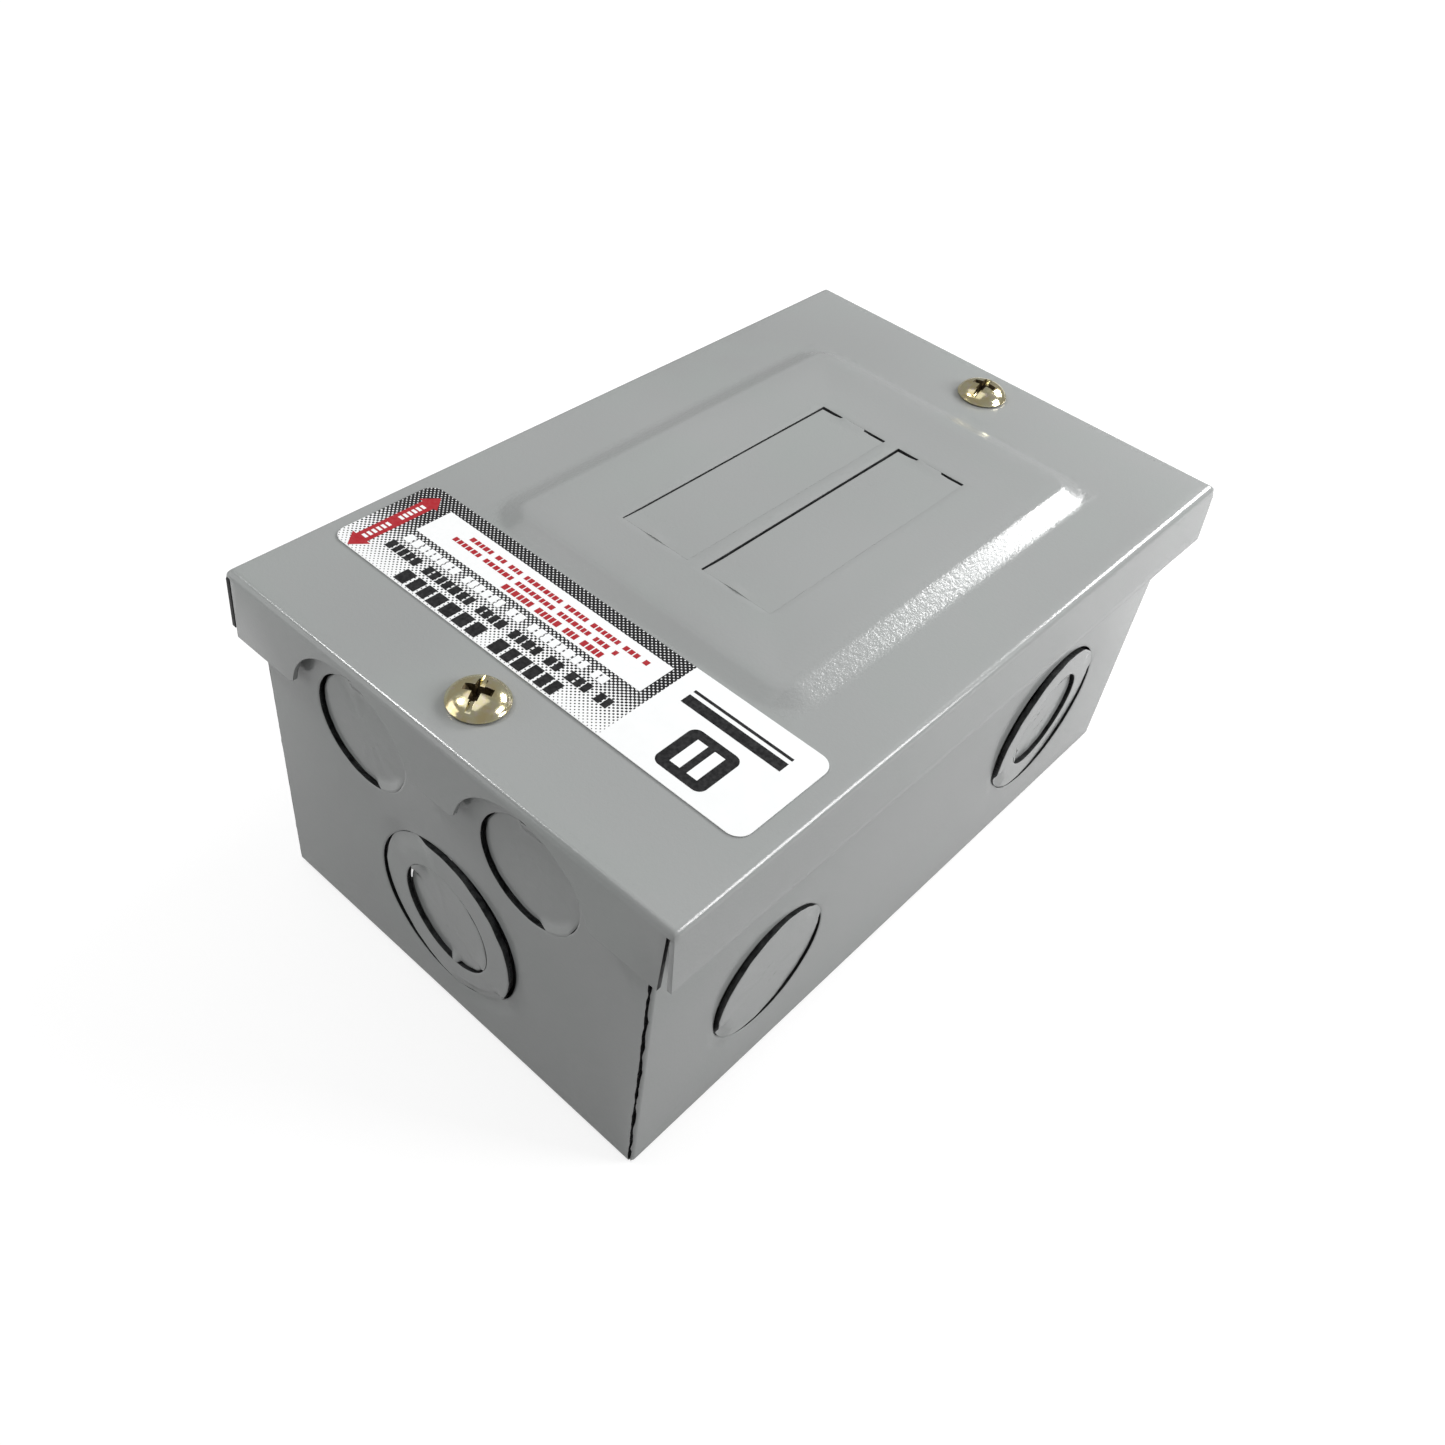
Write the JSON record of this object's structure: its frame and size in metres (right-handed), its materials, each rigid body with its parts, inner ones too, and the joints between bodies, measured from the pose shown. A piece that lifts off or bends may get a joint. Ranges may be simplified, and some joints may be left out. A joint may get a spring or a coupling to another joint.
{
  "type": "residential load center",
  "caption": "Small surface-mount load center: a folded grey steel box with knockouts, a screwed-on lid with breaker twist-outs, and bus bars, lugs and a neutral bar inside.",
  "frame": {"origin": "centre of the back face, on the wall plane", "axes": "+Z out of the wall towards the user, -Y towards the end that is uppermost on a wall, +X towards the left side as seen from the front; lying on its back in this frame"},
  "size_m": [0.102, 0.16, 0.0758],
  "materials": {
    "grey_paint": "glossy baked grey enamel on steel",
    "label_vinyl": "printed white sticker",
    "yellow_zinc": "yellow zinc plating",
    "tinned_bus": "tin plate",
    "aluminium": "extruded aluminium",
    "zinc_steel": "clear zinc plating",
    "black_moulding": "thermoset moulding",
    "green_screw": "green dyed zinc"
  },
  "bodies": {
    "enclosure": {"enclosure": "grey_paint", "interior_base": "black_moulding", "line_bus_left": "tinned_bus", "line_bus_right": "tinned_bus", "line_lug_left": "aluminium", "line_lug_right": "aluminium", "hook_rail": "zinc_steel", "base_screw_1": "zinc_steel", "base_screw_2": "zinc_steel", "neutral_insulator": "black_moulding", "neutral_bar": "aluminium", "neutral_bar_screw": "zinc_steel", "bonding_screw": "green_screw"},
    "cover": {"cover": "grey_paint", "label": "label_vinyl"},
    "twist_out_left": {"twist_out_left": "grey_paint"},
    "twist_out_right": {"twist_out_right": "grey_paint"},
    "cover_screw_top": {"cover_screw_top": "yellow_zinc"},
    "cover_screw_bottom": {"cover_screw_bottom": "yellow_zinc"},
    "top_left_knockout": {"top_left_knockout": "grey_paint"},
    "top_right_knockout": {"top_right_knockout": "grey_paint"},
    "top_centre_knockout_ring": {"top_centre_knockout_ring": "grey_paint"},
    "top_centre_knockout_disc": {"top_centre_knockout_disc": "grey_paint"},
    "bottom_left_knockout": {"bottom_left_knockout": "grey_paint"},
    "bottom_right_knockout": {"bottom_right_knockout": "grey_paint"},
    "bottom_centre_knockout_ring": {"bottom_centre_knockout_ring": "grey_paint"},
    "bottom_centre_knockout_disc": {"bottom_centre_knockout_disc": "grey_paint"},
    "left_upper_knockout": {"left_upper_knockout": "grey_paint"},
    "left_lower_knockout_ring": {"left_lower_knockout_ring": "grey_paint"},
    "left_lower_knockout_disc": {"left_lower_knockout_disc": "grey_paint"},
    "right_upper_knockout": {"right_upper_knockout": "grey_paint"},
    "right_lower_knockout_ring": {"right_lower_knockout_ring": "grey_paint"},
    "right_lower_knockout_disc": {"right_lower_knockout_disc": "grey_paint"},
    "line_lug_screw_left": {"line_lug_screw_left": "zinc_steel"},
    "line_lug_screw_right": {"line_lug_screw_right": "zinc_steel"},
    "neutral_lug_screw": {"neutral_lug_screw": "zinc_steel"},
    "neutral_terminal_screw_1": {"neutral_terminal_screw_1": "zinc_steel"},
    "neutral_terminal_screw_2": {"neutral_terminal_screw_2": "zinc_steel"},
    "neutral_terminal_screw_3": {"neutral_terminal_screw_3": "zinc_steel"},
    "neutral_terminal_screw_4": {"neutral_terminal_screw_4": "zinc_steel"},
    "neutral_terminal_screw_5": {"neutral_terminal_screw_5": "zinc_steel"}
  },
  "joints": [
    {"name": "cover_lift_off", "type": "slide", "parent": "enclosure", "child": "cover", "axis": [0, 0, 1], "range_m": [0, 0.08]},
    {"name": "twist_out_left_twist", "type": "hinge", "parent": "cover", "child": "twist_out_left", "pos_m": [0.00953, 0.008, 0.074], "axis": [0, 1, 0], "range_deg": [-75, 75]},
    {"name": "twist_out_right_twist", "type": "hinge", "parent": "cover", "child": "twist_out_right", "pos_m": [-0.00953, 0.008, 0.074], "axis": [0, 1, 0], "range_deg": [-75, 75]},
    {"name": "cover_screw_top_turn", "type": "hinge", "parent": "cover", "child": "cover_screw_top", "pos_m": [0, -0.0697, 0.073], "axis": [0, 0, 1], "continuous": true},
    {"name": "cover_screw_bottom_turn", "type": "hinge", "parent": "cover", "child": "cover_screw_bottom", "pos_m": [0, 0.0697, 0.073], "axis": [0, 0, 1], "continuous": true},
    {"name": "top_left_knockout_bend", "type": "hinge", "parent": "enclosure", "child": "top_left_knockout", "pos_m": [0.0202, -0.0766, 0.06695], "axis": [1, 0, 0], "range_deg": [0, 50]},
    {"name": "top_right_knockout_bend", "type": "hinge", "parent": "enclosure", "child": "top_right_knockout", "pos_m": [-0.0202, -0.0766, 0.06695], "axis": [1, 0, 0], "range_deg": [0, 50]},
    {"name": "top_centre_knockout_ring_bend", "type": "hinge", "parent": "enclosure", "child": "top_centre_knockout_ring", "pos_m": [-0.01434, -0.0766, 0.03517], "axis": [0.5592, 0, 0.829], "range_deg": [0, 50]},
    {"name": "top_centre_knockout_disc_bend", "type": "hinge", "parent": "top_centre_knockout_ring", "child": "top_centre_knockout_disc", "pos_m": [0.00908, -0.0771, 0.01938], "axis": [-0.5592, 0, -0.829], "range_deg": [0, 50]},
    {"name": "bottom_left_knockout_bend", "type": "hinge", "parent": "enclosure", "child": "bottom_left_knockout", "pos_m": [0.0202, 0.0766, 0.06695], "axis": [-1, 0, 0], "range_deg": [0, 50]},
    {"name": "bottom_right_knockout_bend", "type": "hinge", "parent": "enclosure", "child": "bottom_right_knockout", "pos_m": [-0.0202, 0.0766, 0.06695], "axis": [-1, 0, 0], "range_deg": [0, 50]},
    {"name": "bottom_centre_knockout_ring_bend", "type": "hinge", "parent": "enclosure", "child": "bottom_centre_knockout_ring", "pos_m": [-0.01434, 0.0766, 0.03517], "axis": [-0.5592, 0, -0.829], "range_deg": [0, 50]},
    {"name": "bottom_centre_knockout_disc_bend", "type": "hinge", "parent": "bottom_centre_knockout_ring", "child": "bottom_centre_knockout_disc", "pos_m": [0.00908, 0.0771, 0.01938], "axis": [0.5592, 0, 0.829], "range_deg": [0, 50]},
    {"name": "left_upper_knockout_bend", "type": "hinge", "parent": "enclosure", "child": "left_upper_knockout", "pos_m": [0.0456, -0.03392, 0.03347], "axis": [0, 0.5, -0.866], "range_deg": [0, 50]},
    {"name": "left_lower_knockout_ring_bend", "type": "hinge", "parent": "enclosure", "child": "left_lower_knockout_ring", "pos_m": [0.0456, 0.05798, 0.03715], "axis": [0, 0.5, -0.866], "range_deg": [0, 50]},
    {"name": "left_lower_knockout_disc_bend", "type": "hinge", "parent": "left_lower_knockout_ring", "child": "left_lower_knockout_disc", "pos_m": [0.0461, 0.03352, 0.02303], "axis": [0, -0.5, 0.866], "range_deg": [0, 50]},
    {"name": "right_upper_knockout_bend", "type": "hinge", "parent": "enclosure", "child": "right_upper_knockout", "pos_m": [-0.0456, -0.03392, 0.03347], "axis": [0, -0.5, 0.866], "range_deg": [0, 50]},
    {"name": "right_lower_knockout_ring_bend", "type": "hinge", "parent": "enclosure", "child": "right_lower_knockout_ring", "pos_m": [-0.0456, 0.05798, 0.03715], "axis": [0, -0.5, 0.866], "range_deg": [0, 50]},
    {"name": "right_lower_knockout_disc_bend", "type": "hinge", "parent": "right_lower_knockout_ring", "child": "right_lower_knockout_disc", "pos_m": [-0.0461, 0.03352, 0.02303], "axis": [0, 0.5, -0.866], "range_deg": [0, 50]},
    {"name": "line_lug_screw_left_turn", "type": "hinge", "parent": "enclosure", "child": "line_lug_screw_left", "pos_m": [0.00953, -0.0365, 0.0237], "axis": [0, 0, 1], "continuous": true},
    {"name": "line_lug_screw_right_turn", "type": "hinge", "parent": "enclosure", "child": "line_lug_screw_right", "pos_m": [-0.00953, -0.0365, 0.0237], "axis": [0, 0, 1], "continuous": true},
    {"name": "neutral_lug_screw_turn", "type": "hinge", "parent": "enclosure", "child": "neutral_lug_screw", "pos_m": [-0.035, -0.0185, 0.021], "axis": [0, 0, 1], "continuous": true},
    {"name": "neutral_terminal_screw_1_turn", "type": "hinge", "parent": "enclosure", "child": "neutral_terminal_screw_1", "pos_m": [-0.035, -0.0103, 0.021], "axis": [0, 0, 1], "continuous": true},
    {"name": "neutral_terminal_screw_2_turn", "type": "hinge", "parent": "enclosure", "child": "neutral_terminal_screw_2", "pos_m": [-0.035, -0.0039, 0.021], "axis": [0, 0, 1], "continuous": true},
    {"name": "neutral_terminal_screw_3_turn", "type": "hinge", "parent": "enclosure", "child": "neutral_terminal_screw_3", "pos_m": [-0.035, 0.0025, 0.021], "axis": [0, 0, 1], "continuous": true},
    {"name": "neutral_terminal_screw_4_turn", "type": "hinge", "parent": "enclosure", "child": "neutral_terminal_screw_4", "pos_m": [-0.035, 0.0089, 0.021], "axis": [0, 0, 1], "continuous": true},
    {"name": "neutral_terminal_screw_5_turn", "type": "hinge", "parent": "enclosure", "child": "neutral_terminal_screw_5", "pos_m": [-0.035, 0.0153, 0.021], "axis": [0, 0, 1], "continuous": true}
  ]
}
